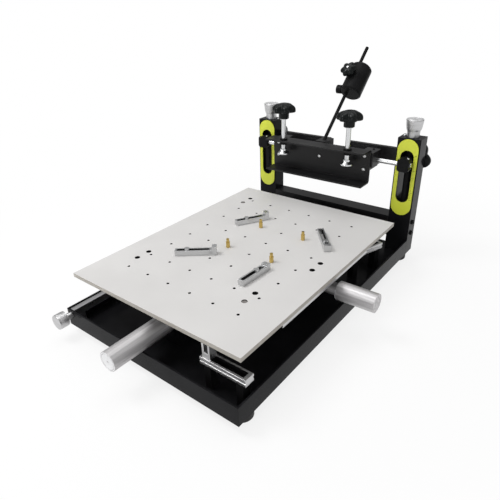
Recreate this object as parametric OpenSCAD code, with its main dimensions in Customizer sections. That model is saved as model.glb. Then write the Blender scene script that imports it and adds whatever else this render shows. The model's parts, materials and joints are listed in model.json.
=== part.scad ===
// Benchtop manual stencil printing table.
// Millimetres. +X is the machine's right side, +Y its rear, +Z up.
// The origin is the centre of the base's footprint, on the table top.

/* [Base] */
// Width of the base across the side rails
base_w = 316; // [300:2:340]
// Length of the base from front rail to rear of the uprights
base_l = 498; // [480:2:540]
// Thickness of the tray's sheet
sheet_t = 2.5; // [2:0.5:4]
// Height of the tray's rails
rail_h = 27.5; // [24:0.5:30]
// Height of the rubber feet
foot_h = 12; // [8:1:16]
// Diameter of the rubber feet
foot_d = 29; // [20:1:34]
// Distance of the feet from the front and rear ends
foot_inset_y = 24; // [18:1:40]
// Distance of the feet from the sides
foot_inset_x = 15.5; // [15:0.5:40]

/* [Uprights] */
// Width of an upright
upright_w = 38; // [36:1:44]
// Depth of an upright
upright_d = 28; // [24:1:32]
// Height of the uprights' tops above the table
upright_top = 216; // [205:1:225]
// Width of the slot in an upright
slot_w = 22; // [20:1:24]
// Height of the slot's lower end
slot_z0 = 108; // [100:1:115]
// Height of the slot's upper end
slot_z1 = 197; // [196:1:200]
// Width of the scale plate on an upright
scale_w = 34; // [32:1:36]
// Height of the scale plate
scale_h = 132; // [124:1:134]
// Height of the scale plate's lower end
scale_z0 = 85; // [80:1:87]
// Thickness of the scale plate
scale_t = 1.5; // [1:0.5:2]
// Height of the lower cross beam's top
beam_top = 78; // [70:1:84]
// Height of the lower cross beam
beam_h = 36; // [30:1:40]
// Thickness of the upper cross bar
bar_t = 8; // [6:1:10]
// Height of the upper cross bar's lower edge
bar_z0 = 167; // [160:1:168]
// Height of the upper cross bar's upper edge
bar_z1 = 192; // [190:1:196]
// Width of the notch for the counterweight rod
notch_w = 34; // [28:1:40]
// Middle of the notch along X
notch_x = 3; // [0:1:3]
// Height of the notch's floor
notch_z = 176; // [172:1:176]

/* [Platen] */
// Width of the platen
platen_w = 300; // [290:2:304]
// Length of the platen
platen_l = 400; // [380:2:410]
// Thickness of the platen
platen_t = 6; // [5:0.5:8]
// Height of the platen's top
platen_top = 92; // [90:1:93]
// Middle of the platen along Y
platen_y = -31; // [-34:1:-28]
// Diameter of the small platen holes
hole_d = 4; // [3:0.5:5]
// Columns of small holes
hole_cols = 6; // [4:1:7]
// Rows of small holes
hole_rows = 8; // [4:1:9]
// Distance between columns
hole_dx = 40; // [36:1:42]
// Distance between rows
hole_dy = 41.6; // [38:0.2:44]
// Middle of the hole grid along Y
grid_y = -27.4; // [-32:0.2:-24]
// Diameter of the larger platen holes
big_hole_d = 8; // [6:0.5:9]
// Length of a pair of larger holes, centre to centre
big_hole_pitch = 22; // [20:1:26]

/* [Arm] */
// Length of the clamp arm
arm_l = 191; // [180:1:200]
// Middle of the clamp arm along X
arm_x = -6; // [-8:1:-5]
// Sheet thickness of the arm
arm_t = 3; // [2:0.5:4]
// Depth of the arm's flanges
arm_d = 31; // [28:1:36]
// Lower face of the arm
arm_z0 = 140.5; // [138:0.5:144]
// Top face of the arm
arm_z1 = 198; // [196:0.5:200]
// Diameter of the hinge shaft
shaft_d = 8; // [7:0.5:9]
// Place of the hinge shaft along Y
shaft_y = 212.5; // [212:0.5:213]
// Height of the hinge shaft
shaft_z = 176; // [176:0.5:177]
// Width of a hinge lug
lug_w = 20; // [16:1:24]
// Distance between the clamp screws
clamp_pitch = 125; // [110:1:135]
// Diameter of the clamp screws
clamp_d = 8; // [6:1:9]
// Distance of the clamp screws from the arm's front edge
clamp_in = 10; // [9:1:14]
// Diameter of the star knobs
star_d = 42; // [36:1:46]

/* [Counterweight] */
// Diameter of the counterweight rod
rod_d = 6; // [5:0.5:6.5]
// Free length of the rod
rod_l = 198; // [180:1:210]
// Angle of the rod above level
rod_angle = 43.3; // [42:0.1:44]
// Diameter of the counterweight
weight_d = 38; // [34:1:42]
// Length of the counterweight
weight_l = 56; // [50:1:64]
// Distance of the weight from the foot of the rod
weight_s = 97; // [94:1:102]
// Offset of the weight's axis from the rod
weight_off = 8; // [6:0.5:10]

/* [Stage] */
// Diameter of the adjusting knobs
knob_d = 27; // [24:1:28]
// Diameter of the adjusting screws
screw_d = 8; // [6:1:9]
// Diameter of the guide rods
guide_d = 10; // [8:1:12]
// Height of the long adjusting screw
y_screw_z = 54; // [54:0.5:55]
// Height of the cross adjusting screw
x_screw_z = 60; // [59:0.5:60]
// Place of the cross adjusting screw along Y
x_screw_y = -14; // [-18:1:-10]

/* [Hidden] */
$fn = 48;

// Clearances
run_gap = 0.05; // round running fits, on the radius
slide_gap = 0.3; // flat faces of moving pieces
near_gap = 0.3; // pieces of different bodies that seat on each other

// Base and uprights
front_y = -base_l / 2;
rear_y = base_l / 2;
side_x = base_w / 2;
floor_z = foot_h;
floor_top = floor_z + sheet_t;
rail_top = floor_z + rail_h;
upright_y0 = rear_y - upright_d;
upright_x = side_x - upright_w / 2;
plate_y0 = upright_y0 - scale_t;
slot_r = slot_w / 2;
scale_r = scale_w / 2;
inner_w = base_w - 2 * upright_w;

foot_edge = 2.5;
foot_bolt_d = 5;

// Height screws in the slots
lift_screw_d = 12;
lift_screw_y = upright_y0 + upright_d / 2;
knob_seat_z = upright_top + near_gap;
cap_d = 27;
cap_h = 28;
cap_neck_d = 20;
cap_neck_h = 8.5;

// Bearing blocks
block_w = 19.5;
block_h = 21.5;
block_r = 5;
block_front = upright_y0 - 16;
block_back = plate_y0 - slide_gap;
neck_d = slot_w - 2 * slide_gap;

// Arm
arm_y1 = shaft_y - 18.5;
arm_y0 = arm_y1 - arm_d;
arm_h = arm_z1 - arm_z0;
lug_y1 = shaft_y + 11;
lug_z0 = shaft_z - 12.5;
lug_z1 = arm_z1 - arm_t - 3;
lug_out = 3;
clamp_y = arm_y0 + clamp_in;
collar_l = 7;
collar_d = 16;

// Clamp screws
pad_z = 173;
pad_h = 9;
pad_d = 21;
nut_h = 5;
top_nut_h = 2.5;
nut_af = 13;
star_z = 235;
star_hub_d = 18;
star_hub_h = 11;
star_h = 15;

// Turning adjuster
rotation_x = -side_x + 8;
rotation_z = rail_top - 8.5;
rotation_d = 5;
rotation_stem_d = 10;
rotation_out = 23.5;
rotation_grip = 30;
rotation_bar_l = 96;

// Counterweight
rod_foot_y = shaft_y - 4.5;
rod_foot_z = arm_z1 + 0.5;
rod_sink = 8;
weight_edge = 2.5;
weight_knob_s = weight_s + 0.55 * weight_l;
weight_screw_s = weight_s + 8;

// Stage
plate_gap = 5;
turn_z0 = platen_top - platen_t - 7;
y_rod_x = 70;
y_rod_z = floor_top + 15;
y_guide_l = 250;
stage_w = 230;
stage_l = 190;
stage_z = y_rod_z + guide_d / 2 + 4;
stage_t = 6;
x_rod_y = 55;
x_rod_z = 60;
x_guide_l = 200;
slide_z0 = x_rod_z + guide_d / 2 + 3;
slide_t = 6;

// A box given by its two corners
module box(p, q) {
    translate(p) cube([q[0] - p[0], q[1] - p[1], q[2] - p[2]]);
}

// A cylinder along X, Y or Z, from a point
module rod_x(p, d, l) {
    translate(p) rotate([0, 90, 0]) cylinder(d = d, h = l);
}
module rod_y(p, d, l) {
    translate(p) rotate([-90, 0, 0]) cylinder(d = d, h = l);
}
module rod_z(p, d, l) {
    translate(p) cylinder(d = d, h = l);
}

// An obround outline, w wide and h tall, standing on its lower end
module obround(w, h) {
    translate([0, w / 2]) circle(d = w);
    translate([0, h - w / 2]) circle(d = w);
    translate([-w / 2, w / 2]) square([w, h - w]);
}

// A star knob about Z: a round hub under a flattened dome with lobes round its rim
dome_steps = 5;
dome_end = 78;
dome_out = 0.4;
dome_start = 0.3; // height of the rim, as a share of the head
lobe_share = 0.32; // of the knob's diameter
module star_knob(d, hub_d, hub_h, h, lobes, core_share = 0.66, lobe_turn = 17) {
    rim_z = hub_h + (h - hub_h) * dome_start;
    dome = [for (i = [0 : dome_steps]) let (a = i * dome_end / dome_steps)
        [(d / 2 + dome_out) * cos(a), rim_z + (h - rim_z) * sin(a) / sin(dome_end)]];
    difference() {
        union() {
            cylinder(d = hub_d, h = hub_h + 1);
            translate([0, 0, hub_h]) cylinder(d = d * core_share, h = h - hub_h);
            for (i = [0 : lobes - 1]) rotate(i * 360 / lobes + lobe_turn)
                rod_z([d * (1 - lobe_share) / 2, 0, hub_h], d * lobe_share, h - hub_h);
        }
        rotate_extrude() polygon(concat(dome,
            [[dome[dome_steps][0], h + 1], [d, h + 1], [d, rim_z]]));
    }
}

// Base
module base_tray() {
    color("#15161a") difference() {
        box([-side_x, front_y, floor_z], [side_x, upright_y0, rail_top]);
        box([-side_x + sheet_t, front_y + sheet_t, floor_top],
            [side_x - sheet_t, upright_y0 + 1, rail_top + 1]);
        rod_y([rotation_x, front_y - 1, rotation_z], rotation_stem_d + 2 * run_gap, sheet_t + 2);
    }
    color("#15161a") box([-inner_w / 2, upright_y0, floor_z], [inner_w / 2, rear_y, floor_top]);
}
module feet() {
    color("#101010") for (x = [-1, 1], y = [-1, 1])
        translate([x * (side_x - foot_inset_x), y * (rear_y - foot_inset_y), 0]) difference() {
            union() {
                cylinder(d1 = foot_d - 2 * foot_edge, d2 = foot_d, h = foot_edge);
                translate([0, 0, foot_edge]) cylinder(d = foot_d, h = foot_h - foot_edge);
            }
            translate([0, 0, -1]) cylinder(d = foot_bolt_d, h = foot_h + 2);
        }
}
module upright(side) {
    color("#121316") difference() {
        box([side * upright_x - upright_w / 2, upright_y0, floor_z],
            [side * upright_x + upright_w / 2, rear_y, upright_top]);
        translate([side * upright_x, rear_y + 1, slot_z0]) rotate([90, 0, 0])
            linear_extrude(height = upright_d + 2) obround(slot_w, slot_z1 - slot_z0);
        rod_z([side * upright_x, lift_screw_y, slot_z1 - slot_r], lift_screw_d + 2 * run_gap, 100);
        rod_z([side * upright_x, lift_screw_y, slot_z0 - 10], lift_screw_d + 2 * run_gap, 20 + slot_r);
    }
}
module upright_left() { upright(-1); }
module upright_right() { upright(1); }
module scale_plate(side) {
    color("#b9c832") translate([side * upright_x, upright_y0, scale_z0]) rotate([90, 0, 0])
        linear_extrude(height = scale_t) difference() {
            obround(scale_w, min(scale_h, upright_top - scale_z0 - 1));
            translate([0, slot_z0 - scale_z0]) obround(slot_w, slot_z1 - slot_z0);
        }
}
module scale_plate_left() { scale_plate(-1); }
module scale_plate_right() { scale_plate(1); }
module lower_cross_beam() {
    color("#16171a") difference() {
        box([-inner_w / 2, upright_y0, beam_top - beam_h], [inner_w / 2, rear_y, beam_top]);
        box([-inner_w / 2 - 1, upright_y0 + 3, beam_top - beam_h + 3],
            [inner_w / 2 + 1, rear_y - 3, beam_top - 3]);
    }
}
module upper_cross_bar() {
    color("#121316") difference() {
        box([-inner_w / 2, rear_y - bar_t, bar_z0], [inner_w / 2, rear_y, bar_z1]);
        box([notch_x - notch_w / 2, rear_y - bar_t - 1, notch_z], [notch_x + notch_w / 2, rear_y + 1, bar_z1 + 1]);
    }
}

// Long guides on the tray's floor, with their shaft supports
module long_guides() {
    color("#b8bcc0") for (x = [-y_rod_x, y_rod_x]) {
        rod_y([x, platen_y - y_guide_l / 2, y_rod_z], guide_d, y_guide_l);
        for (y = [-1, 1]) difference() {
            box([x - 14, platen_y + y * (y_guide_l / 2 - 8) - 8, floor_top],
                [x + 14, platen_y + y * (y_guide_l / 2 - 8) + 8, y_rod_z + guide_d / 2 + 2]);
            rod_y([x, platen_y - y_guide_l, y_rod_z], guide_d, 2 * y_guide_l);
        }
    }
}

// Pedestal that carries the long adjusting screw behind the front rail
pedestal_y = front_y + 55;
module screw_pedestal() {
    color("#1a1b1e") difference() {
        union() {
            box([-12, pedestal_y, floor_top], [12, pedestal_y + 14, y_screw_z]);
            rod_y([0, pedestal_y, y_screw_z], 24, 14);
        }
        rod_y([0, pedestal_y - 1, y_screw_z], screw_d + 2 * run_gap, 16);
    }
}

// Turning adjuster inside the front left corner
module rotation_bar() {
    color("#c4c7c9") difference() {
        union() {
            box([rotation_x - 5, front_y + sheet_t, rotation_z - 4],
                [rotation_x + 4, front_y + rotation_bar_l, rotation_z + 7]);
            for (y = [8, rotation_bar_l - 16])
                box([rotation_x - 5, front_y + y, floor_top], [rotation_x + 4, front_y + y + 12, rotation_z - 4]);
        }
        rod_y([rotation_x, front_y, rotation_z], rotation_d + 2 * run_gap, sheet_t + rotation_grip + 2);
    }
}
module rotation_knob() {
    color("#c9cccd") {
        rod_y([rotation_x, front_y + sheet_t - near_gap, rotation_z], rotation_d, rotation_grip);
        rod_y([rotation_x, front_y - rotation_out + 14, rotation_z], rotation_stem_d,
            rotation_out - 14 + sheet_t - near_gap);
        rod_y([rotation_x, front_y - rotation_out, rotation_z], 22, 14);
    }
}

// Slotted rests for the platen at the right-hand corners
rest_w = 15;
rest_l = 68;
rest_z = 50;
rest_h = 10;
rest_wall = 3;
rest_side = side_x - 73;
rest_turn = 72.3;
module slotted_bar() {
    difference() {
        box([0, -rest_w / 2, rest_z], [rest_l, rest_w / 2, rest_z + rest_h]);
        box([rest_wall + 2, -rest_w / 2 + rest_wall, rest_z + 2],
            [rest_l - rest_wall - 2, rest_w / 2 - rest_wall, rest_z + rest_h + 1]);
        for (s = [-1, 1]) translate([0, s * rest_w / 2, 0])
            box([-1, -1, rest_z + 4], [rest_l + 1, 1, rest_z + 6]);
    }
    for (x = [5, rest_l - 15]) box([x, -6, floor_top], [x + 10, 6, rest_z]);
}
module rest_post() {
    difference() {
        box([4, -6, rest_z + 2], [16, 6, platen_top - platen_t - plate_gap]);
        box([7, -7, rest_z + rest_h + 8], [13, 7, platen_top]);
    }
}
module rest_bar() {
    color("#b4b6b4") {
        slotted_bar();
        rest_post();
    }
}
module front_rest_bar() { translate([rest_side, front_y + 28, 0]) rest_bar(); }
module rear_rest_bar() { translate([rest_side + 28, upright_y0 - 130, 0]) rotate(rest_turn) rest_bar(); }

// Height screws with their tapered knobs
module height_knob(side) {
    color("#c6c8ca") translate([side * upright_x, lift_screw_y, 0]) {
        rod_z([0, 0, slot_z0 - 9], lift_screw_d, knob_seat_z - slot_z0 + 12);
        translate([0, 0, knob_seat_z]) rotate_extrude() polygon([[0, 0], [cap_neck_d / 2, 0],
            [cap_neck_d / 2, cap_neck_h], [cap_d / 2 - 3.5, cap_neck_h], [cap_d / 2 - 1.5, cap_neck_h + 5],
            [cap_d / 2 - 0.5, cap_neck_h + 12], [cap_d / 2, cap_neck_h + 17], [cap_d / 2, cap_h - 1],
            [cap_d / 2 - 1, cap_h], [0, cap_h]]);
    }
}
module height_knob_left() { height_knob(-1); }
module height_knob_right() { height_knob(1); }

// Hinge shaft with the collars that keep the arm in place
module hinge_shaft() {
    half = upright_x + block_w / 2 + 1.5;
    color("#d4d6d8") rod_x([-half, shaft_y, shaft_z], shaft_d, 2 * half);
    color("#1b1b1d") for (s = [-1, 1]) difference() {
        rod_x([arm_x + s * (arm_l / 2 - lug_w - near_gap - collar_l / 2) - collar_l / 2, shaft_y, shaft_z],
            collar_d, collar_l);
        rod_x([-half, shaft_y, shaft_z], shaft_d, 2 * half);
    }
}

// Bearing blocks that slide in the uprights
module bearing_block(side) {
    color("#1c1c1f") difference() {
        union() {
            box([side * upright_x - block_w / 2, block_front, shaft_z - block_h / 2 + block_r],
                [side * upright_x + block_w / 2, block_back, shaft_z + block_h / 2 - block_r]);
            box([side * upright_x - block_w / 2 + block_r, block_front, shaft_z - block_h / 2],
                [side * upright_x + block_w / 2 - block_r, block_back, shaft_z + block_h / 2]);
            for (x = [-1, 1], z = [-1, 1])
                rod_y([side * upright_x + x * (block_w / 2 - block_r), block_front,
                    shaft_z + z * (block_h / 2 - block_r)], 2 * block_r, block_back - block_front);
            rod_y([side * upright_x, block_back, shaft_z], neck_d, rear_y + near_gap - block_back);
        }
        rod_x([side * upright_x - upright_w, shaft_y, shaft_z], shaft_d, 2 * upright_w);
        rod_z([side * upright_x, lift_screw_y, slot_z0], lift_screw_d + 2 * run_gap, 200);
    }
}
module bearing_block_left() { bearing_block(-1); }
module bearing_block_right() { bearing_block(1); }
module lock_knob(side) {
    color("#101012") translate([side * upright_x, rear_y + near_gap, shaft_z]) rotate([-90, 0, 0])
        star_knob(54, 26, 6, 24, 5, 0.74, 0);
}
module lock_knob_left() { lock_knob(-1); }
module lock_knob_right() { lock_knob(1); }

// Folded channel that clamps the stencil frame, open to the front
bend_r = 5;
module clamp_arm() {
    color("#141518") difference() {
        translate([arm_x - arm_l / 2, 0, 0]) rotate([90, 0, 90]) linear_extrude(height = arm_l)
            difference() {
                union() {
                    translate([arm_y0, arm_z0]) square([arm_d - bend_r, arm_h]);
                    translate([arm_y0, arm_z0 + bend_r]) square([arm_d, arm_h - 2 * bend_r]);
                    for (z = [arm_z0 + bend_r, arm_z1 - bend_r])
                        translate([arm_y1 - bend_r, z]) circle(r = bend_r);
                }
                translate([arm_y0 - 1, arm_z0 + arm_t])
                    square([arm_d + 1 - arm_t, arm_h - 2 * arm_t]);
            }
        for (s = [-1, 1]) rod_z([arm_x + s * clamp_pitch / 2, clamp_y, arm_z1 - arm_t - 1],
            clamp_d + 2 * run_gap, arm_t + 2);
    }
}
module hinge_lugs() {
    color("#17181a") difference() {
        union() {
            for (s = [-1, 1]) translate([arm_x + s * (arm_l - lug_w) / 2, 0, 0]) {
                box([-lug_w / 2, arm_y1, lug_z0], [lug_w / 2, lug_y1, lug_z1]);
                box([s * lug_w / 2 - lug_out, arm_y1, lug_z0 + 4], [s * lug_w / 2 + lug_out, lug_y1, lug_z1]);
            }
            box([arm_x - lug_w / 2, arm_y1, lug_z0], [arm_x + lug_w / 2, lug_y1, rod_foot_z]);
        }
        rod_x([arm_x - arm_l, shaft_y, shaft_z], shaft_d + 2 * run_gap, 2 * arm_l);
        along_rod() translate([0, 0, -rod_sink]) cylinder(d = rod_d, h = 3 * rod_sink);
    }
}
module clamp_nuts() {
    color("#1d1d20") for (s = [-1, 1]) difference() {
        for (n = [[arm_z1 - arm_t - nut_h, nut_h], [arm_z1, top_nut_h]])
            translate([arm_x + s * clamp_pitch / 2, clamp_y, n[0]])
                cylinder(d = nut_af / cos(30), h = n[1], $fn = 6);
        rod_z([arm_x + s * clamp_pitch / 2, clamp_y, arm_z1 - arm_t - nut_h - 1],
            clamp_d + 2 * run_gap, nut_h + arm_t + top_nut_h + 2);
    }
}

// Clamp screws, their star knobs and their swivel pads
module clamp_screw(side) {
    color("#c9cbcd") rod_z([arm_x + side * clamp_pitch / 2, clamp_y, pad_z + 3],
        clamp_d, star_z + star_hub_h - pad_z - 3);
}
module clamp_star(side) {
    color("#0f1011") translate([arm_x + side * clamp_pitch / 2, clamp_y, star_z]) difference() {
        star_knob(star_d, star_hub_d, star_hub_h, star_hub_h + star_h, 6);
        translate([0, 0, -1]) cylinder(d = clamp_d, h = star_hub_h + 1);
    }
}
module clamp_pad(side) {
    color("#d0d2d3") translate([arm_x + side * clamp_pitch / 2, clamp_y, pad_z]) difference() {
        union() {
            cylinder(d = pad_d, h = 2);
            translate([0, 0, 2]) cylinder(d1 = pad_d - 1, d2 = 12, h = 4);
            translate([0, 0, 6]) cylinder(d = 12, h = pad_h - 6);
        }
        translate([0, 0, 3]) cylinder(d = clamp_d, h = pad_h);
    }
}
module clamp_screw_left() { clamp_screw(-1); }
module clamp_screw_right() { clamp_screw(1); }
module clamp_star_left() { clamp_star(-1); }
module clamp_star_right() { clamp_star(1); }
module clamp_pad_left() { clamp_pad(-1); }
module clamp_pad_right() { clamp_pad(1); }

// Everything on the counterweight rod is drawn along its local Z
module along_rod() {
    translate([arm_x, rod_foot_y, rod_foot_z]) rotate([rod_angle - 90, 0, 0]) children();
}
module counterweight_rod() {
    color("#141416") along_rod() translate([0, 0, -rod_sink]) cylinder(d = rod_d, h = rod_l + rod_sink);
}
module counterweight() {
    color("#131315") along_rod() difference() {
        union() {
            translate([weight_off, 0, weight_s]) rotate_extrude() polygon([
                [0, 0], [weight_d / 2 - weight_edge, 0], [weight_d / 2, weight_edge],
                [weight_d / 2, weight_l - weight_edge], [weight_d / 2 - weight_edge, weight_l], [0, weight_l]]);
            rod_y([0, -weight_d / 2, weight_knob_s], 16, weight_d / 4);
            rod_x([weight_off - weight_d / 2, 0, weight_screw_s], 11, weight_d / 6);
        }
        translate([0, 0, weight_s - 1]) cylinder(d = rod_d + 2 * run_gap, h = weight_l + 2);
    }
}
module weight_star_knob() {
    color("#101011") along_rod() translate([0, -weight_d / 2, weight_knob_s])
        rotate([90, 0, 0]) star_knob(29, 14, 5, 14, 6);
}
module weight_set_screw() {
    color("#18181a") along_rod() translate([weight_off - weight_d / 2, 0, weight_screw_s])
        rotate([0, -90, 0]) cylinder(d = 15, h = 9);
}

// Lower stage: slides front to rear on the long guides
stage_y0 = platen_y - stage_l / 2;
module stage_plate() {
    color("#2a2b2e") difference() {
        union() {
            box([-stage_w / 2, stage_y0, stage_z], [stage_w / 2, stage_y0 + stage_l, stage_z + stage_t]);
            for (x = [-y_rod_x, y_rod_x], y = [-1, 1])
                box([x - 12, platen_y + y * 60 - 15, y_rod_z - guide_d / 2 - 3],
                    [x + 12, platen_y + y * 60 + 15, stage_z]);
            box([-12, stage_y0, stage_z + stage_t], [12, stage_y0 + 16, y_screw_z + 9]);
            box([stage_w / 2 - 14, x_screw_y - 13, stage_z + stage_t],
                [stage_w / 2, x_screw_y + 13, x_screw_z + 12]);
        }
        for (x = [-y_rod_x, y_rod_x])
            rod_y([x, stage_y0 - 20, y_rod_z], guide_d + 2 * run_gap, stage_l + 40);
        rod_y([0, stage_y0 - 1, y_screw_z], screw_d + 2 * run_gap, 18);
        rod_x([stage_w / 2 - 15, x_screw_y, x_screw_z], screw_d + 2 * run_gap, 16);
    }
}
module cross_guides() {
    color("#b8bcc0") for (y = [platen_y - x_rod_y, platen_y + x_rod_y]) {
        rod_x([-x_guide_l / 2, y, x_rod_z], guide_d, x_guide_l);
        for (x = [-1, 1]) difference() {
            box([x * (x_guide_l / 2 - 7) - 7, y - 10, stage_z + stage_t],
                [x * (x_guide_l / 2 - 7) + 7, y + 10, x_rod_z + guide_d / 2 + 2]);
            rod_x([-x_guide_l, y, x_rod_z], guide_d, 2 * x_guide_l);
        }
    }
}
module long_knob() {
    color("#c2c4c6") {
        rod_y([0, front_y - 45, y_screw_z], knob_d, pedestal_y - front_y + 45 - near_gap);
        rod_y([0, pedestal_y - near_gap, y_screw_z], screw_d, stage_y0 + 18 - pedestal_y);
    }
}
cross_knob_x = side_x + 48;
module cross_knob() {
    color("#c2c4c6") {
        rod_x([150, x_screw_y, x_screw_z], knob_d, cross_knob_x - 150);
        rod_x([stage_w / 2 + near_gap, x_screw_y, x_screw_z], 18, 150 - stage_w / 2 - near_gap);
        rod_x([-20, x_screw_y, x_screw_z], screw_d, stage_w / 2 + 20 + near_gap);
    }
}

// Upper stage: slides across on the cross guides
slide_w = 150;
slide_l = 150;
module cross_slide_plate() {
    color("#2a2b2e") difference() {
        union() {
            box([-slide_w / 2, platen_y - slide_l / 2, slide_z0],
                [slide_w / 2, platen_y + slide_l / 2, slide_z0 + slide_t]);
            for (x = [-45, 45], y = [-x_rod_y, x_rod_y])
                box([x - 14, platen_y + y - 11, x_rod_z - guide_d / 2 - 3],
                    [x + 14, platen_y + y + 11, slide_z0]);
            box([-12, x_screw_y - 12, x_screw_z - 9], [12, x_screw_y + 12, slide_z0]);
        }
        for (y = [-x_rod_y, x_rod_y])
            rod_x([-slide_w, platen_y + y, x_rod_z], guide_d + 2 * run_gap, 2 * slide_w);
        rod_x([-slide_w, x_screw_y, x_screw_z], screw_d + 2 * run_gap, 2 * slide_w);
        rod_z([0, platen_y, slide_z0 - 1], pivot_d + 2 * run_gap, slide_t + 2);
    }
}

// Turntable under the platen
pivot_d = 16;
turn_d = 110;
turn_w = platen_w - 4;
turn_front = 119;
turn_rear = 105;
module turntable_plate() {
    color("#c9cac8") {
        box([-turn_w / 2, platen_y - turn_front, turn_z0],
            [turn_w / 2, platen_y + turn_rear, platen_top - platen_t]);
        rod_z([0, platen_y, slide_z0 + slide_t + near_gap], turn_d, turn_z0 - slide_z0 - slide_t - near_gap);
        rod_z([0, platen_y, slide_z0 + 1], pivot_d, slide_t);
    }
}

// Platen with its grid of small holes and pairs of larger ones
grid_x0 = -(hole_cols - 1) * hole_dx / 2;
grid_y0 = grid_y - (hole_rows - 1) * hole_dy / 2;
big_holes = [[-110, -138, 0], [-111, 114, 0], [118.5, -24, 0], [89, -136, 0]];
function grid_at(i, j) = [grid_x0 + i * hole_dx, grid_y0 + j * hole_dy];
module platen() {
    color("#d6d3ce") difference() {
        box([-platen_w / 2, platen_y - platen_l / 2, platen_top - platen_t],
            [platen_w / 2, platen_y + platen_l / 2, platen_top]);
        for (i = [0 : hole_cols - 1], j = [0 : hole_rows - 1])
            rod_z([grid_at(i, j)[0], grid_at(i, j)[1], platen_top - platen_t - 1], hole_d, platen_t + 2);
        for (h = big_holes, s = [-1, 1])
            rod_z([h[0], h[1] + s * big_hole_pitch / 2, platen_top - platen_t - 1], big_hole_d, platen_t + 2);
    }
}
pin_cells = [[2, 3], [2, 5], [4, 5], [4, 3]];
module locating_pins() {
    color("#b08a3c") for (c = pin_cells) translate([grid_at(c[0], c[1])[0], grid_at(c[0], c[1])[1], platen_top]) {
        translate([0, 0, -platen_t]) cylinder(d = hole_d, h = platen_t);
        cylinder(d = 6, h = 9);
        translate([0, 0, 9]) cylinder(d = 4.5, h = 5);
    }
}

// Slotted board clamps: middle x, middle y, turn, length, place of the screw, height of the end stop
clamps = [[-45, -92, 37.6, 62, -13, 5], [-45, 44.5, 59, 58, -10, 6],
    [64.5, -94, 87, 56, 4, 2], [90, 46.5, -50.4, 63, 14, 2]];
clamp_w = 10;
clamp_h = 8;
clamp_slot = 5.4;
stop_l = 7;
module board_clamps() {
    color("#b9bbbc") for (c = clamps) translate([c[0], c[1], platen_top]) rotate(c[2]) {
        difference() {
            box([-c[3] / 2, -clamp_w / 2, 0], [c[3] / 2, clamp_w / 2, clamp_h]);
            for (x = [-c[3] / 2 + 5, c[3] / 2 - stop_l - 5]) rod_z([x, 0, -1], clamp_slot, clamp_h + 2);
            box([-c[3] / 2 + 5, -clamp_slot / 2, -1], [c[3] / 2 - stop_l - 5, clamp_slot / 2, clamp_h + 1]);
        }
        box([c[3] / 2 - stop_l, -clamp_w / 2, clamp_h], [c[3] / 2, clamp_w / 2, clamp_h + c[5]]);
    }
}
module board_clamp_screws() {
    color("#a6a8aa") for (c = clamps) translate([c[0], c[1], platen_top]) rotate(c[2])
        translate([c[4], 0, 0]) {
            cylinder(d = hole_d, h = clamp_h);
            translate([0, 0, clamp_h]) cylinder(d = 7.5, h = 2.5);
        }
}

base_tray();
feet();
upright_left();
upright_right();
scale_plate_left();
scale_plate_right();
lower_cross_beam();
upper_cross_bar();
long_guides();
screw_pedestal();
rotation_bar();
front_rest_bar();
rear_rest_bar();
height_knob_left();
height_knob_right();
hinge_shaft();
bearing_block_left();
bearing_block_right();
lock_knob_left();
lock_knob_right();
clamp_arm();
hinge_lugs();
counterweight_rod();
clamp_nuts();
clamp_screw_left();
clamp_screw_right();
clamp_star_left();
clamp_star_right();
clamp_pad_left();
clamp_pad_right();
counterweight();
weight_star_knob();
weight_set_screw();
stage_plate();
cross_guides();
long_knob();
cross_knob();
rotation_knob();
cross_slide_plate();
platen();
turntable_plate();
locating_pins();
board_clamps();
board_clamp_screws();
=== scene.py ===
"""Looks of the screen printing table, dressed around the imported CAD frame.

The frame's axes: +X to the operator's right, +Y towards the uprights, +Z up, and the bench that
the feet stand on at 0. Blender works in metres. Sizes of the dressing are in millimetres, and
mm() or scaled() turns them into metres where a mesh is made.
"""
import json
import math

import bmesh
import bpy
from mathutils import Matrix, Vector


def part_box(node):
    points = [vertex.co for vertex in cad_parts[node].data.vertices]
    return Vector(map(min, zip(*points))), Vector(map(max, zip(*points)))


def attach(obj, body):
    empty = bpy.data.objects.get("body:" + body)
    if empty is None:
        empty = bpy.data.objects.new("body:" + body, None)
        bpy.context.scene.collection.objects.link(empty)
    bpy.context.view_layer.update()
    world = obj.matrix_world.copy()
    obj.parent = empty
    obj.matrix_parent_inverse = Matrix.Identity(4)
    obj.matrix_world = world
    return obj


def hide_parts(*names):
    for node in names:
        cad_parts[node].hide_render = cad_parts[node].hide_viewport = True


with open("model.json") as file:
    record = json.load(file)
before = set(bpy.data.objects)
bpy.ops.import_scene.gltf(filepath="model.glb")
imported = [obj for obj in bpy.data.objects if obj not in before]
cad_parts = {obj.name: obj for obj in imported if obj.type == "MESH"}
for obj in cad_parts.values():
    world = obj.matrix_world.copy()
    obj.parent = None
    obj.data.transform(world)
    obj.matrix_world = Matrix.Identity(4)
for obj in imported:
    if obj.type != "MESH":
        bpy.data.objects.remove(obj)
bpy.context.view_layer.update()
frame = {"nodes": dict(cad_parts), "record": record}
scene = bpy.context.scene
MM = 0.001
TAU = 2 * math.pi
X_AXIS, Y_AXIS, Z_AXIS = (1, 0, 0), (0, 1, 0), (0, 0, 1)
TO_FRONT = (0, -1, 0)

# Camera, as fitted to the photograph's edges
CAMERA_AT = (0.3894, -0.5100, 0.4163)
CAMERA_YAW = -39.474
CAMERA_DOWN = 28.537
CAMERA_ROLL = -2.419
FOCAL_PX = 461.03
FRAME_PX = 500
SENSOR_MM = 36
CENTRE_PX = (243.29, 252.83)

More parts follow.
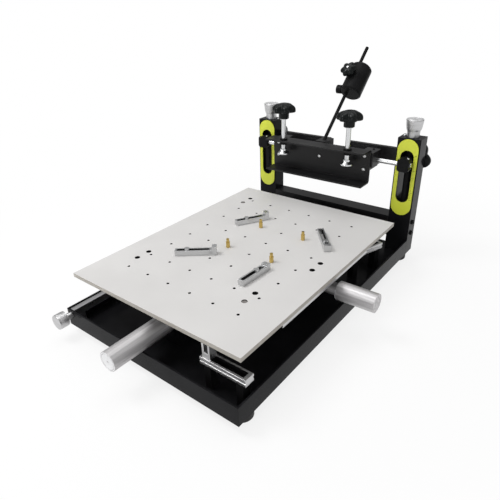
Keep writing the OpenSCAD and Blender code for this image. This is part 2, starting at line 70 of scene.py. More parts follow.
# Disc lamps: name, place, width in metres, power in watts
LAMPS = (
    ("key", (-0.75, -0.55, 1.5), 0.7, 13.0),
    ("fill", (1.4, 0.1, 0.7), 1.0, 2.0),
    ("top", (-0.2, 0.3, 1.7), 1.2, 8.0),
    ("front", (-0.25, -1.7, 0.55), 0.9, 6.0),
)
LAMP_TARGET = (0, 0, 0.1)

# World: strength at the horizon, and from ZENITH_FROM (height of a unit direction) upwards
HORIZON_GREY = 0.42
ZENITH_GREY = 0.55
ZENITH_FROM = 0.8

# Floor: a disc, glowing less near the object so that its shadow shows
FLOOR_R = 2.6
FLOOR_TOP = -0.0002
FLOOR_UNDERSIDE = -0.0012
FLOOR_GLOW = 0.82
FLOOR_NEAR = 0.25
FLOOR_FAR = 0.75

# Black finishes reflect little of the pale studio
DARK_IOR = 1.13
PLASTIC_IOR = 1.24

# The part of a noise texture's range that a finish is spread over
NOISE_LOW = 0.3
NOISE_HIGH = 0.7

# Sockets of a Mix node that mixes colours
MIX_FIRST, MIX_SECOND, MIX_RESULT = 6, 7, 2

# Edge softening on the CAD solids
EDGE_SOFT = 0.45 * MM
EDGE_FINE = 0.2 * MM
EDGE_ANGLE = 32
WELD_REACH = 0.004 * MM
FINE_NODES = ("locating_pins", "board_clamp_screws", "clamp_nuts", "scale_plate_left",
              "scale_plate_right", "board_clamps", "weight_set_screw")


# ---- Camera, lamps and world ----

def link_new(name, data):
    thing = bpy.data.objects.new(name, data)
    scene.collection.objects.link(thing)
    return thing


def add_camera():
    yaw = math.radians(CAMERA_YAW)
    down = math.radians(CAMERA_DOWN)
    roll = math.radians(CAMERA_ROLL)
    ahead = Vector((math.sin(yaw) * math.cos(down), math.cos(yaw) * math.cos(down),
                    -math.sin(down)))
    right = Vector((math.cos(yaw), -math.sin(yaw), 0))
    up = right.cross(ahead)
    side = right * math.cos(roll) + up * math.sin(roll)
    top = -right * math.sin(roll) + up * math.cos(roll)
    data = bpy.data.cameras.new("camera")
    data.sensor_width = SENSOR_MM
    data.lens = FOCAL_PX / FRAME_PX * SENSOR_MM
    data.shift_x = (FRAME_PX / 2 - CENTRE_PX[0]) / FRAME_PX
    data.shift_y = (CENTRE_PX[1] - FRAME_PX / 2) / FRAME_PX
    camera = link_new("camera", data)
    turn = Matrix((side, top, -ahead)).transposed().to_4x4()
    camera.matrix_world = Matrix.Translation(CAMERA_AT) @ turn
    scene.camera = camera


def add_lamp(name, at, width, power):
    data = bpy.data.lights.new(name, "AREA")
    data.shape = "DISK"
    data.size = width
    data.energy = power
    lamp = link_new(name, data)
    lamp.location = at
    towards = Vector(LAMP_TARGET) - Vector(at)
    lamp.rotation_euler = towards.to_track_quat("-Z", "Y").to_euler()


def add_world():
    """A soft grey studio, a little brighter overhead, and white where the camera sees it."""
    world = bpy.data.worlds.new("studio")
    scene.world = world
    world.use_nodes = True
    nodes, links = world.node_tree.nodes, world.node_tree.links
    nodes.clear()
    out = nodes.new("ShaderNodeOutputWorld")
    mix = nodes.new("ShaderNodeMixShader")
    path = nodes.new("ShaderNodeLightPath")
    seen = nodes.new("ShaderNodeBackground")
    seen.inputs["Color"].default_value = (1, 1, 1, 1)
    lit = nodes.new("ShaderNodeBackground")
    place = nodes.new("ShaderNodeTexCoord")
    split = nodes.new("ShaderNodeSeparateXYZ")
    ramp = nodes.new("ShaderNodeMapRange")
    ramp.inputs["From Min"].default_value = 0.0
    ramp.inputs["From Max"].default_value = ZENITH_FROM
    ramp.inputs["To Min"].default_value = HORIZON_GREY
    ramp.inputs["To Max"].default_value = ZENITH_GREY
    links.new(place.outputs["Generated"], split.inputs[0])
    links.new(split.outputs["Z"], ramp.inputs["Value"])
    links.new(ramp.outputs["Result"], lit.inputs["Strength"])
    links.new(path.outputs["Is Camera Ray"], mix.inputs["Fac"])
    links.new(lit.outputs[0], mix.inputs[1])
    links.new(seen.outputs[0], mix.inputs[2])
    links.new(mix.outputs[0], out.inputs["Surface"])


# ---- Finishes ----

class Shader:
    """A principled material with small helpers for its procedural parts."""

    def __init__(self, name, color, rough, metal=0.0, gloss=0.5, ior=1.5):
        self.material = bpy.data.materials.new(name)
        self.material.use_nodes = True
        self.nodes = self.material.node_tree.nodes
        self.links = self.material.node_tree.links
        self.main = self.nodes["Principled BSDF"]
        self.main.inputs["Base Color"].default_value = (*color, 1)
        self.main.inputs["Roughness"].default_value = rough
        self.main.inputs["Metallic"].default_value = metal
        self.main.inputs["Specular IOR Level"].default_value = gloss
        self.main.inputs["IOR"].default_value = ior
        self.place = self.nodes.new("ShaderNodeTexCoord").outputs["Object"]
        self.normal = None

    def noise(self, scale, detail=3.0, stretch=(1, 1, 1)):
        mapping = self.nodes.new("ShaderNodeMapping")
        mapping.inputs["Scale"].default_value = stretch
        noise = self.nodes.new("ShaderNodeTexNoise")
        noise.inputs["Scale"].default_value = scale
        noise.inputs["Detail"].default_value = detail
        self.links.new(self.place, mapping.inputs["Vector"])
        self.links.new(mapping.outputs[0], noise.inputs["Vector"])
        return noise.outputs["Fac"]

    def spread(self, value, low, high):
        ramp = self.nodes.new("ShaderNodeMapRange")
        ramp.inputs["From Min"].default_value = NOISE_LOW
        ramp.inputs["From Max"].default_value = NOISE_HIGH
        ramp.inputs["To Min"].default_value = low
        ramp.inputs["To Max"].default_value = high
        self.links.new(value, ramp.inputs["Value"])
        return ramp.outputs["Result"]

    def vary_rough(self, value, low, high):
        self.links.new(self.spread(value, low, high), self.main.inputs["Roughness"])

    def vary_color(self, value, first, second):
        mix = self.nodes.new("ShaderNodeMix")
        mix.data_type = "RGBA"
        mix.inputs[MIX_FIRST].default_value = (*first, 1)
        mix.inputs[MIX_SECOND].default_value = (*second, 1)
        self.links.new(self.spread(value, 0, 1), mix.inputs[0])
        self.links.new(mix.outputs[MIX_RESULT], self.main.inputs["Base Color"])

    def bump(self, value, depth, strength):
        bump = self.nodes.new("ShaderNodeBump")
        bump.inputs["Distance"].default_value = depth
        bump.inputs["Strength"].default_value = strength
        self.links.new(value, bump.inputs["Height"])
        if self.normal:
            self.links.new(self.normal, bump.inputs["Normal"])
        self.normal = bump.outputs["Normal"]
        self.links.new(self.normal, self.main.inputs["Normal"])


def black_paint():
    s = Shader("gloss_black_paint", (0.011, 0.011, 0.012), 0.2, ior=DARK_IOR)
    s.vary_color(s.noise(30), (0.009, 0.009, 0.010), (0.013, 0.013, 0.0145))
    s.vary_rough(s.noise(14, 5), 0.12, 0.26)
    s.bump(s.noise(900, 2), 0.04 * MM, 0.3)
    s.bump(s.noise(60, 3), 0.2 * MM, 0.1)
    return s.material


def satin_black_paint():
    s = Shader("satin_black_paint", (0.013, 0.0127, 0.0135), 0.36, ior=1.32)
    s.vary_color(s.noise(30), (0.011, 0.0107, 0.0115), (0.015, 0.0147, 0.0155))
    s.vary_rough(s.noise(22, 5), 0.30, 0.44)
    s.bump(s.noise(1000, 2), 0.04 * MM, 0.3)
    return s.material


# Painted shade: a darker copy of the platen's paint for its outer side faces, standing in for the
# shade on the sides.
def platen_side_shade():
    s = Shader("platen_side_shade", (0.40, 0.375, 0.335), 0.5)
    s.vary_color(s.noise(80, 3), (0.37, 0.345, 0.305), (0.43, 0.405, 0.365))
    s.bump(s.noise(1500, 2, (1, 1, 0.2)), 0.04 * MM, 0.4)
    return s.material


def black_oxide():
    s = Shader("black_oxide_steel", (0.011, 0.011, 0.0115), 0.34, ior=DARK_IOR)
    s.vary_color(s.noise(40, 4), (0.009, 0.009, 0.0095), (0.014, 0.014, 0.0145))
    s.vary_rough(s.noise(80, 4), 0.26, 0.42)
    s.bump(s.noise(1400, 2), 0.03 * MM, 0.4)
    return s.material


def black_plastic():
    s = Shader("moulded_black_plastic", (0.007, 0.0085, 0.0085), 0.26, ior=PLASTIC_IOR)
    s.vary_rough(s.noise(120, 3), 0.20, 0.34)
    s.bump(s.noise(1100, 2), 0.04 * MM, 0.25)
    return s.material


def dark_plate():
    s = Shader("dark_satin_plate", (0.018, 0.019, 0.021), 0.4, gloss=0.4)
    s.vary_rough(s.noise(40, 4), 0.32, 0.5)
    s.bump(s.noise(1000, 2), 0.05 * MM, 0.4)
    return s.material


def rubber():
    s = Shader("foot_rubber", (0.010, 0.010, 0.010), 0.6, gloss=0.35)
    s.vary_color(s.noise(90), (0.008, 0.008, 0.008), (0.016, 0.015, 0.014))
    s.bump(s.noise(1500, 3), 0.1 * MM, 0.5)
    return s.material


def yellow_plate():
    s = Shader("yellow_green_plate", (0.68, 0.74, 0.05), 0.42)
    s.vary_color(s.noise(25, 3), (0.65, 0.71, 0.045), (0.72, 0.78, 0.06))
    s.vary_rough(s.noise(60, 4), 0.34, 0.52)
    s.bump(s.noise(1200, 2), 0.03 * MM, 0.4)
    return s.material


def platen_paint():
    s = Shader("off_white_platen", (0.63, 0.62, 0.61), 0.5)
    s.vary_color(s.noise(9, 4), (0.605, 0.595, 0.585), (0.65, 0.64, 0.63))
    s.vary_rough(s.noise(30, 4), 0.42, 0.58)
    s.bump(s.noise(1300, 2), 0.05 * MM, 0.5)
    return s.material


def bright_steel():
    s = Shader("ground_steel", (0.70, 0.71, 0.72), 0.2, metal=1.0)
    s.vary_rough(s.noise(200, 3, (1, 1, 0.08)), 0.14, 0.30)
    s.bump(s.noise(2200, 2, (1, 1, 0.05)), 0.02 * MM, 0.3)
    return s.material


def satin_steel():
    s = Shader("nickel_steel", (0.62, 0.625, 0.63), 0.34, metal=1.0)
    s.vary_rough(s.noise(260, 3), 0.28, 0.40)
    s.bump(s.noise(2400, 2), 0.006 * MM, 0.3)
    return s.material


def fine_metal(name, stretch, color, rough):
    """Drawn or turned metal. stretch sets the way its fine marks run."""
    s = Shader(name, color, 0.32, metal=1.0)
    darker, lighter = [c * 0.9 for c in color], [c * 1.06 for c in color]
    s.vary_color(s.noise(60, 4, stretch), darker, lighter)
    s.vary_rough(s.noise(500, 3, stretch), *rough)
    s.bump(s.noise(2600, 2, stretch), 0.03 * MM, 0.5)
    return s.material


def brushed(name, stretch):
    """Bar stock with drawn streaks along one axis."""
    s = Shader(name, (0.56, 0.55, 0.555), 0.55, metal=1.0)
    s.vary_color(s.noise(240, 4, stretch), (0.42, 0.41, 0.415), (0.7, 0.69, 0.695))
    s.vary_rough(s.noise(420, 3, stretch), 0.5, 0.68)
    s.bump(s.noise(900, 3, stretch), 0.02 * MM, 0.6)
    return s.material


# Painted shade: a near-black material for the walls of holes and slots, standing in for the shade
# down them.
def painted_bore_shade():
    s = Shader("painted_bore_shade", (0.012, 0.012, 0.012), 0.5, gloss=0.3)
    s.vary_rough(s.noise(400, 3), 0.42, 0.6)
    s.bump(s.noise(2000, 2), 0.04 * MM, 0.4)
    return s.material


def print_ink():
    s = Shader("scale_ink", (0.03, 0.03, 0.025), 0.45)
    s.vary_rough(s.noise(500, 3), 0.38, 0.54)
    return s.material


def own_floor():
    """Pale sweep that glows for camera and glossy rays and still takes the object's shadow."""
    s = Shader("pale_floor", (0.9, 0.9, 0.9), 0.9, gloss=0.0)
    nodes, links = s.nodes, s.links
    path = nodes.new("ShaderNodeLightPath")
    seen = nodes.new("ShaderNodeMath")
    seen.operation = "MAXIMUM"
    glow = nodes.new("ShaderNodeEmission")
    glow.inputs["Strength"].default_value = 1.0
    amount = nodes.new("ShaderNodeMath")
    amount.operation = "MULTIPLY"
    reach = nodes.new("ShaderNodeVectorMath")
    reach.operation = "LENGTH"
    fade = nodes.new("ShaderNodeMapRange")
    fade.interpolation_type = "SMOOTHSTEP"
    fade.inputs["From Min"].default_value = FLOOR_NEAR
    fade.inputs["From Max"].default_value = FLOOR_FAR
    fade.inputs["To Min"].default_value = FLOOR_GLOW
    fade.inputs["To Max"].default_value = 1.0
    mix = nodes.new("ShaderNodeMixShader")
    links.new(s.place, reach.inputs[0])
    links.new(reach.outputs["Value"], fade.inputs["Value"])
    links.new(fade.outputs["Result"], amount.inputs[1])
    links.new(path.outputs["Is Camera Ray"], seen.inputs[0])
    links.new(path.outputs["Is Glossy Ray"], seen.inputs[1])
    links.new(seen.outputs[0], amount.inputs[0])
    links.new(amount.outputs[0], mix.inputs["Fac"])
    links.new(s.main.outputs[0], mix.inputs[1])
    links.new(glow.outputs[0], mix.inputs[2])
    links.new(mix.outputs[0], nodes["Material Output"].inputs["Surface"])
    return s.material


ALUMINIUM = (0.56, 0.56, 0.565)
BRASS = (0.66, 0.48, 0.16)
MATERIALS = {
    "black_paint": black_paint(),
    "rubber": rubber(),
    "scale": yellow_plate(),
    "ground_steel": bright_steel(),
    "aluminium": fine_metal("drawn_aluminium", (1, 0.05, 1), ALUMINIUM, (0.26, 0.46)),
    "turned_aluminium": fine_metal("turned_aluminium", (0.4, 0.4, 3), ALUMINIUM, (0.30, 0.46)),
    "black_oxide": black_oxide(),
    "black_plastic": black_plastic(),
    "dark_plate": dark_plate(),
    "platen": platen_paint(),
    "brass": fine_metal("turned_brass", (1, 1, 8), BRASS, (0.22, 0.36)),
    "nickel_steel": satin_steel(),
}
# Nodes whose finish differs a little from their slot's
OWN_LOOK = {
    "long_knob": brushed("aluminium_brushed_y", (1, 0.02, 1)),
    "cross_knob": brushed("aluminium_brushed_x", (0.02, 1, 1)),
}
OWN_LOOK.update(dict.fromkeys(
    ("clamp_arm", "hinge_lugs", "upper_cross_bar", "lower_cross_beam"), satin_black_paint()))
# Painted shade for the platen's outer sides.
PLATEN_SIDE_SHADE = platen_side_shade()
# Painted highlight: a much lighter copy of the aluminium for the faced ends of the large knobs,
# so that they read bright.
END_FACE_HIGHLIGHT = fine_metal("end_highlight_aluminium", (1, 1, 1), (0.9, 0.9, 0.91), (0.42, 0.56))
PLUG = Shader("plug_grey", (0.2, 0.185, 0.175), 0.6).material
BORE_SHADE = painted_bore_shade()
INK = print_ink()
# Black oxide steel, also used as painted shade in the rest bars' slots.
OXIDE_AND_SLOT_SHADE = MATERIALS["black_oxide"]
SLOT_OF = {row["node"]: row["material_slot"] for row in frame["record"]["subparts"]}


# ---- Sizes in millimetres that the dressing sits on ----

def low(node):
    return [round(v / MM, 2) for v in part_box(node)[0]]


def high(node):
    return [round(v / MM, 2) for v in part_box(node)[1]]


def middle(node):
    return [(a + b) / 2 for a, b in zip(low(node), high(node))]


SHAFT_Z = middle("hinge_shaft")[2]
UPRIGHT_X, LIFT_Y = middle("upright_right")[:2]
UPRIGHT_SIDE, UPRIGHT_BACK, UPRIGHT_TOP = high("upright_right")
SCALE_FACE = low("scale_plate_right")[1]
BLOCK_TOP = high("bearing_block_right")[2]
SIDES = (("left", -UPRIGHT_X), ("right", UPRIGHT_X))

ARM_MIDDLE = middle("clamp_arm")[0]
ARM_SHEET = 3
WEB_FACE = high("clamp_arm")[1] - ARM_SHEET
FLANGE_TOP = low("clamp_arm")[2] + ARM_SHEET
CLAMP_Y = middle("clamp_pad_right")[1]
STAR_Z = low("clamp_star_right")[2]
CLAMPS = tuple((side, middle("clamp_pad_" + side)[0]) for side in ("left", "right"))

ROD_LEAN = 43.3
ROD_FOOT = (ARM_MIDDLE, 208, high("hinge_lugs")[2])
ROD_TIP_S = 189.5
ROD_FRAME = (Matrix.Translation(Vector(ROD_FOOT))
             @ Matrix.Rotation(math.radians(ROD_LEAN - 90), 4, "X"))
WEIGHT_R = (high("counterweight")[0] - low("counterweight")[0]) / 2
WEIGHT_KNOB_S = 127.8

PLATEN_TOP = high("platen")[2]
LARGE_KNOB_D = 27
LIFT_SCREW_TOP = 212

# Board clamps: middle x and y, turn in degrees, length. Rest bars: x and y of the near end, turn.
BOARD_CLAMPS = ((-45, -92, 37.6, 62), (-45, 44.5, 59, 58), (64.5, -94, 87, 56),
                (90, 46.5, -50.4, 63))
BOARD_SLOT = {"half": 2.9, "heights": (PLATEN_TOP, 99.9)}
BOARD_SLOT_ENDS = (3, -12)
REST_BARS = {"front_rest_bar": (85, -221, 0), "rear_rest_bar": (113, 91, 72.3)}
REST_BAR_UNDERSIDE = 49.9
REST_SLOT = {"start": 4.5, "end": 63.5, "half": 4.8, "heights": (REST_BAR_UNDERSIDE, 59.8)}


# ---- Finishes and edges of the CAD nodes ----

def paint_frame():
    for name, node in frame["nodes"].items():
        node.data.materials.clear()
        node.data.materials.append(OWN_LOOK.get(name) or MATERIALS[SLOT_OF[name]])


def soften_frame():
    """Small rounded edges on every CAD solid, so that its folds and rims catch the light."""
    for name, node in frame["nodes"].items():
        weld = node.modifiers.new("weld", "WELD")
        weld.merge_threshold = WELD_REACH
        bevel = node.modifiers.new("bevel", "BEVEL")
        bevel.width = EDGE_FINE if name in FINE_NODES else EDGE_SOFT
        bevel.segments = 2
        bevel.limit_method = "ANGLE"
        bevel.angle_limit = math.radians(EDGE_ANGLE)
        facing = node.modifiers.new("facing", "WEIGHTED_NORMAL")
        facing.keep_sharp = False
        facing.weight = 100
        facing.mode = "FACE_AREA"


def dark_where(name, test, material):
    """Faces of one CAD node whose centre and normal pass the test take another material."""
    data = frame["nodes"][name].data
    data.materials.append(material)
    index = len(data.materials) - 1
    for polygon in data.polygons:
        if test(polygon.center / MM, polygon.normal):
            polygon.material_index = index


def hollow(x, y, turn, start, end, half, heights):
    """Test for the walls and floor of a slot that runs from (x, y) in its own direction."""
    along = Vector((math.cos(math.radians(turn)), math.sin(math.radians(turn))))

    def test(centre, normal):
        place = centre.xy - Vector((x, y))
        run, off = place.dot(along), place.cross(along)
        inside = start < run < end and abs(off) < half
        return inside and heights[0] < centre.z < heights[1] and normal.z > -0.5
    return test


def shade_inner_faces():
    """Painted shade on the slot walls of the rest bars and board clamps; the rest bars' legs are
    black, and the lift screws in their slots dark steel.
    """
    for name, (x, y, turn) in REST_BARS.items():
        # Painted shade: the rest bars' slot walls and floor take the black oxide material; the
        # legs below are black in their own right.
        dark_where(name, hollow(x, y, turn, **REST_SLOT), OXIDE_AND_SLOT_SHADE)
        dark_where(name, lambda centre, normal: centre.z < REST_BAR_UNDERSIDE, OXIDE_AND_SLOT_SHADE)
    for x, y, turn, length in BOARD_CLAMPS:
        start, end = BOARD_SLOT_ENDS[0] - length / 2, BOARD_SLOT_ENDS[1] + length / 2
        # Painted shade on the walls of the board clamps' slots.
        dark_where("board_clamps", hollow(x, y, turn, start, end, **BOARD_SLOT), BORE_SHADE)
    for side, _ in SIDES:
        dark_where("height_knob_" + side,
                   lambda centre, normal: centre.z < LIFT_SCREW_TOP, OXIDE_AND_SLOT_SHADE)


# ---- Meshes ----

def mm(*values):
    return tuple(v * MM for v in values)


def scaled(rings):
    return [(r * MM, z * MM) for r, z in rings]


def add_piece(name, mesh, body, slot=None, material=None):
    """A dressing piece that rides on a body, finished as a slot of the record or by itself."""
    piece = link_new(name, mesh)
    mesh.materials.append(material or MATERIALS[slot])
    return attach(piece, body)


def mesh_of(name, verts, faces, smooth_angle=40):
    mesh = bpy.data.meshes.new(name)
    mesh.from_pydata(verts, [], faces)
    mesh.validate()
    work = bmesh.new()
    work.from_mesh(mesh)
    bmesh.ops.recalc_face_normals(work, faces=work.faces)
    work.to_mesh(mesh)
    work.free()
    for polygon in mesh.polygons:
        polygon.use_smooth = True
    mesh.set_sharp_from_angle(angle=math.radians(smooth_angle))
    return mesh


def turned_rings(rings, at, axis, radius_at=None, segments=48):
    """Vertices and faces of rings (radius, distance along the axis), closed at both ends.

    radius_at(radius, angle, index) may shape a ring, for lobes, flutes and threads."""
    turn = Vector(Z_AXIS).rotation_difference(Vector(axis)).to_matrix()
    at = Vector(at)
    verts, faces = [], []
    for k, (radius, along) in enumerate(rings):
        for i in range(segments):
            angle = TAU * i / segments
            r = radius_at(radius, angle, k) if radius_at else radius
            verts.append(at + turn @ Vector((r * math.cos(angle), r * math.sin(angle), along)))
    for k in range(len(rings) - 1):
        for i in range(segments):
            j = (i + 1) % segments
            faces.append((k * segments + i, k * segments + j,
                          (k + 1) * segments + j, (k + 1) * segments + i))
    faces.append(tuple(range(segments))[::-1])
    last = (len(rings) - 1) * segments
    faces.append(tuple(last + i for i in range(segments)))
    return verts, faces


def turned(name, rings, at, axis, body, slot=None, radius_at=None, segments=48, material=None,
           smooth=40):
    """A turned piece from rings in millimetres."""
    verts, faces = turned_rings(scaled(rings), mm(*at), axis, radius_at, segments)
    return add_piece(name, mesh_of(name, verts, faces, smooth), body, slot, material)


def join(parts):
    """Several (verts, faces) as one."""
    verts, faces = [], []
    for v, f in parts:
        start = len(verts)
        verts += v
        faces += [tuple(start + i for i in face) for face in f]
    return verts, faces


def brick(low_corner, high_corner):
    a, b = mm(*low_corner), mm(*high_corner)
    verts = [Vector((x, y, z)) for x in (a[0], b[0]) for y in (a[1], b[1]) for z in (a[2], b[2])]
    faces = [(0, 1, 3, 2), (4, 6, 7, 5), (0, 4, 5, 1), (2, 3, 7, 6), (0, 2, 6, 4), (1, 5, 7, 3)]
    return verts, faces


# ---- Hardware ----

def lobed(lobes, phase, core):
    """Ring shaper for a star grip: rounded lobes outside the core radius, in millimetres."""
    depth = 0.24
    roundness = 0.62

    def shape(radius, angle, index):
        if radius <= core * MM:
            return radius
        wave = 0.5 + 0.5 * math.cos(lobes * (angle - phase))
        valley = 1 - depth * (1 - wave ** roundness)
        return max(core * MM, radius * valley)
    return shape


def star_grip(name, d, hub_d, hub_h, h, lobes, phase, at, axis, body, node):
    """Moulded star knob: round hub, domed head with lobes and an undercut rim."""
    dome_steps = 7
    dome_end = math.radians(84)
    dome_flatness = 0.85
    rim = hub_h + (h - hub_h) * 0.3
    r, hub_r = d / 2, hub_d / 2
    rings = [(hub_r - 1.1, 0), (hub_r - 0.4, 0.2), (hub_r, 0.9), (hub_r, hub_h - 1.6),
             (hub_r + 0.5, hub_h - 0.6), (hub_r + 1.8, hub_h), (r - 2.2, hub_h + 0.1),
             (r - 0.8, hub_h + 0.5), (r, hub_h + 1.5), (r, rim)]
    for i in range(1, dome_steps + 1):
        a = dome_end * i / dome_steps
        rings.append((r * math.cos(a) ** dome_flatness,
                      rim + (h - rim) * math.sin(a) / math.sin(dome_end)))
    piece = turned(name, rings, at, axis, body, "black_plastic", lobed(lobes, phase, hub_r), 120,
                   smooth=55)
    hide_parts(node)


def pan_screw(name, at, axis, d, body, slot="nickel_steel"):
    """Low domed screw head with a cross recess."""
    profile = ((1, 0), (1, 0.22), (0.94, 0.38), (0.78, 0.52), (0.55, 0.62), (0.42, 0.64),
               (0.30, 0.36), (0.12, 0.30))
    recess_from = 5

    def cross(radius, angle, index):
        if index < recess_from:
            return radius
        arm = abs(math.cos(2 * angle)) ** 3
        return radius * (0.55 + 0.45 * arm)
    rings = [(d / 2 * out, d / 2 * up) for out, up in profile]
    return turned(name, rings, at, axis, body, slot, cross, 32)


def socket_screw(name, at, axis, d, head_h, body):
    """Black cap screw head with a hexagon socket."""
    r = d / 2
    hexagon = r * 0.52
    depth = head_h * 0.55
    socket_from = 4

    def socket(radius, angle, index):
        if index < socket_from:
            return radius
        return radius / max(math.cos((angle % (TAU / 6)) - TAU / 12), 0.5) * 0.93
    rings = [(r, 0), (r, head_h - 0.35), (r - 0.35, head_h), (hexagon + 0.25, head_h),
             (hexagon, head_h - 0.15), (hexagon, head_h - depth), (0.05, head_h - depth - 0.2)]
    return turned(name, rings, at, axis, body, "black_oxide", socket, 36, smooth=30)


def thread_piece(name, d, start, length, pitch, depth, at, body, slot):
    """Upright thread sleeve that hugs a plain rod: a ring every quarter pitch."""
    steps = 4
    proud = 0.06
    r = d / 2
    count = int(length / pitch * steps)
    rings = [(r * 0.8, start)]
    rings += [(r, start + length * i / count) for i in range(count + 1)]
    rings.append((r * 0.8, start + length))

    def helix(radius, angle, index):
        if index in (0, count + 2):
            return radius
        ridge = 0.5 - 0.5 * math.cos(TAU * (index - 1) / steps - angle)
        return (r - depth + depth * ridge + proud) * MM
    return turned(name, rings, at, Z_AXIS, body, slot, helix, 20, smooth=70)


def knurled(name, d, length, at, axis, body):
    """Straight knurled sleeve with rounded ends round a plain knob."""
    flutes = 60
    depth = 0.22
    r = d / 2 + 0.12
    rings = [(r - 0.9, 0), (r - 0.2, 0.25), (r, 0.8), (r, length - 0.8), (r - 0.2, length - 0.25),
             (r - 0.9, length)]
    ends = (0, len(rings) - 1)

    def flute(radius, angle, index):
        if index in ends:
            return radius
        return radius - depth * MM * (0.5 + 0.5 * math.cos(flutes * angle))
    return turned(name, rings, at, axis, body, "turned_aluminium", flute, flutes * 4, smooth=60)


def end_face(name, d, at, axis, body):
    """Faced end of a grip: a disc inside a shallow groove, with a centre dimple, in a lighter
    copy of the aluminium that paints a highlight on the end.
    """
    r = d / 2
    rings = [(r - 0.6, -0.3), (r - 0.6, 0.1), (r - 1.0, 0.25), (r - 1.9, 0.25), (r - 2.1, -0.12),
             (r - 2.7, -0.12), (r - 2.9, 0.2), (2.2, 0.2), (1.4, -0.15)]
    return turned(name, rings, at, axis, body, material=END_FACE_HIGHLIGHT)


def on_rod(x, y, s):
    """A point in millimetres, given in the counterweight rod's own frame."""
    return tuple(ROD_FRAME @ Vector((x, y, s)))


def along_rod(x, y, s):
    """A direction, given in the counterweight rod's own frame."""
    return tuple(ROD_FRAME.to_3x3() @ Vector((x, y, s)))


# ---- Dressing ----

def dress_grips():
    """Star knobs in place of the CAD's plainer ones, and the bushes and stud they sit on."""
    for side, x in CLAMPS:
        body = "clamp_" + side
        foot = (x, CLAMP_Y, STAR_Z)
        star_grip("star_grip_" + side, 42, 18, 11, 26, 6, math.radians(17), foot, Z_AXIS, body,
                  "clamp_star_" + side)
        turned("grip_bush_" + side, [(6.4, 0), (6.6, 0.2), (6.6, 1), (6.2, 1.2), (4, 1.2)],
               foot, (0, 0, -1), body, "ground_steel")
    for side, x in SIDES:
        foot = (x, high("bearing_block_" + side)[1], SHAFT_Z)
        star_grip("lock_grip_" + side, 54, 26, 6, 24, 5, math.radians(14), foot, Y_AXIS,
                  "carriage", "lock_knob_" + side)
    outward = along_rod(*TO_FRONT)
    star_grip("weight_grip", 29, 14, 5, 14, 6, 0.3, on_rod(0, -WEIGHT_R, WEIGHT_KNOB_S), outward,
              "weight", "weight_star_knob")
    turned("weight_stud", [(2.2, 0), (2.2, 0.5), (1.8, 0.9), (0.9, 1.05)],
           on_rod(0, -WEIGHT_R - 13.6, WEIGHT_KNOB_S), outward, "weight", "nickel_steel")


def dress_arm():
    """Screws that hold the lugs to the folded web, small ones in the flanges, and threads."""
    for x in (ARM_MIDDLE - 85, ARM_MIDDLE + 85):
        for z in (163.4, 186.4):
            pan_screw("web_screw_%d_%d" % (x, z), (x, WEB_FACE, z), TO_FRONT, 6.2, "arm")
    pan_screw("web_screw_middle", (-5, WEB_FACE, 173.2), TO_FRONT, 6.2, "arm")
    for x, y in ((58.8, 171.4), (-67.9, 180)):
        pan_screw("flange_screw_%d" % x, (x, y, FLANGE_TOP), Z_AXIS, 3, "arm", "black_oxide")
    for x in (ARM_MIDDLE - 89, ARM_MIDDLE + 89):
        pan_screw("lug_screw_%d" % x, (x, 217, 192), Z_AXIS, 4, "arm", "black_oxide")
    for side, x in CLAMPS:
        thread_piece("clamp_thread_" + side, 8, 185, 47, 1.25, 0.3, (x, CLAMP_Y, 0),
                     "clamp_" + side, "ground_steel")
    turned("rod_tip", [(3.05, -1), (3.05, 0), (2.3, 0.6)], on_rod(0, 0, ROD_TIP_S),
           along_rod(*Z_AXIS), "arm", "black_oxide")


def dress_uprights():
    """Lift threads in the slots, and the screws of the uprights, blocks, bar and beam."""
    for side, x in SIDES:
        outward = (math.copysign(1, x), 0, 0)
        thread_piece("lift_thread_" + side, 11.96, 101, 112, 2, 0.5, (x, LIFT_Y, 0),
                     "height_screw_" + side, "black_oxide")
        pan_screw("top_screw_" + side, (x - math.copysign(14, x), 238, UPRIGHT_TOP), Z_AXIS, 5.4,
                  "base")
        pan_screw("block_screw_" + side, (x + 6, 210, BLOCK_TOP), Z_AXIS, 3.6, "carriage")
        for z in (172.5, 186.5):
            socket_screw("bar_screw_%s_%d" % (side, z), (math.copysign(113, x), UPRIGHT_BACK, z),
                         Y_AXIS, 7, 3, "base")
        for z in (50, 70):
            socket_screw("beam_screw_%s_%d" % (side, z),
                         (math.copysign(UPRIGHT_SIDE, x), LIFT_Y, z), outward, 8, 2.6, "base")


def dress_scales():
    """Plain printed divisions beside the slot, longer every fifth."""
    divisions = 31
    first_z = 115
    spacing = 2.5
    near = 11.9
    for side, x in SIDES:
        parts = []
        for step in range(divisions):
            z = first_z + spacing * step
            far, half = (15.6, 0.22) if step % 5 == 0 else (13.7, 0.15)
            parts.append(brick((x + near, SCALE_FACE - 0.12, z - half),
                               (x + far, SCALE_FACE + 0.06, z + half)))
        name = "scale_marks_" + side
        add_piece(name, mesh_of(name, *join(parts)), "base", material=INK)


def dress_knobs():
    """Shoulder of the cross knob, knurl of the turning knob, and faced ends of the large ones
    with a painted highlight.
    """
    turned("cross_knob_shoulder", [(12.9, 0), (13.7, 0.5), (13.7, 1.1), (13.5, 1.3)],
           (149.8, -14, 60), X_AXIS, "cross_screw", "turned_aluminium")
    end_face("long_knob_end", LARGE_KNOB_D, (0, low("long_knob")[1], 54), TO_FRONT, "long_screw")
    end_face("cross_knob_end", LARGE_KNOB_D, (203, -14, 60), X_AXIS, "cross_screw")
    knurled("turning_knurl", 22, 11.6, (-150, -271.3, 31), Y_AXIS, "turning_screw")
    for side, x in SIDES:
        end_face("height_knob_end_" + side, LARGE_KNOB_D,
                 (x, LIFT_Y, high("height_knob_" + side)[2]), Z_AXIS, "height_screw_" + side)


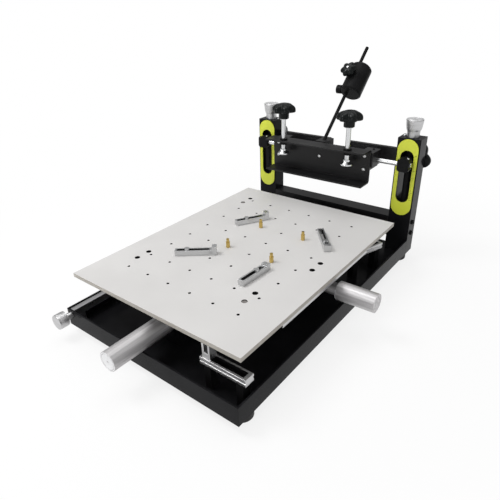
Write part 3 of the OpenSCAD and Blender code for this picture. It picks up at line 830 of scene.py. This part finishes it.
def dress_platen():
    """Plain grey plugs that fill two of the larger holes."""
    rings = [(3.6, 0), (3.6, 1.6), (3.3, 1.9), (1.2, 1.9), (0.9, 1.6)]
    for x, y in ((-111, 103), (89, -147)):
        turned("platen_plug_%d" % x, rings, (x, y, PLATEN_TOP - 2.8), Z_AXIS, "table",
               material=PLUG)


def is_flat(face):
    return abs(face.normal.z) > 0.99


def finish_platen():
    """The platen again, with its outer edges and every hole's rim rounded, its faces flat, and
    painted shade on its hole walls and outer sides.
    """
    work = bmesh.new()
    work.from_mesh(frame["nodes"]["platen"].data)
    bmesh.ops.remove_doubles(work, verts=work.verts, dist=WELD_REACH)
    paired = [e for e in work.edges if len(e.link_faces) == 2]
    inner = [e for e in paired if all(is_flat(face) for face in e.link_faces)]
    bmesh.ops.dissolve_edges(work, edges=inner, use_verts=False)
    paired = [e for e in work.edges if len(e.link_faces) == 2]
    sharp = [e for e in paired if e.calc_face_angle(0) > math.radians(60)]
    bmesh.ops.bevel(work, geom=sharp, offset=0.35 * MM, segments=3, profile=0.5, affect="EDGES",
                    clamp_overlap=True)
    bmesh.ops.triangulate(work, faces=[f for f in work.faces if len(f.verts) > 4])
    mesh = bpy.data.meshes.new("platen_finished")
    work.to_mesh(mesh)
    work.free()
    in_paint, in_bore_shade, in_side_shade = range(3)
    for material in (MATERIALS["platen"], BORE_SHADE, PLATEN_SIDE_SHADE):
        mesh.materials.append(material)
    left, front, _ = low("platen")
    right, rear, _ = high("platen")
    for polygon in mesh.polygons:
        polygon.use_smooth = abs(polygon.normal.z) <= 0.999
        polygon.material_index = in_paint
        # Upright faces: hole walls inside the outline take painted shade, and the outer sides
        # take the darker painted-shade copy of the paint.
        if abs(polygon.normal.z) < 0.25:
            x, y, _ = polygon.center / MM
            inside = left + 1 < x < right - 1 and front + 1 < y < rear - 1
            polygon.material_index = in_bore_shade if inside else in_side_shade
    piece = link_new("platen_finished", mesh)
    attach(piece, "table")
    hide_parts("platen")


def floor_disc():
    rings = [(FLOOR_R, FLOOR_UNDERSIDE), (FLOOR_R, FLOOR_TOP)]
    floor = mesh_of("own_floor", *turned_rings(rings, (0, 0, 0), Z_AXIS, segments=96))
    piece = link_new("own_floor", floor)
    floor.materials.append(own_floor())


scene.view_settings.view_transform = "Standard"
add_camera()
add_world()
for lamp in LAMPS:
    add_lamp(*lamp)
paint_frame()
shade_inner_faces()
soften_frame()
finish_platen()
dress_grips()
dress_arm()
dress_uprights()
dress_scales()
dress_knobs()
dress_platen()
floor_disc()
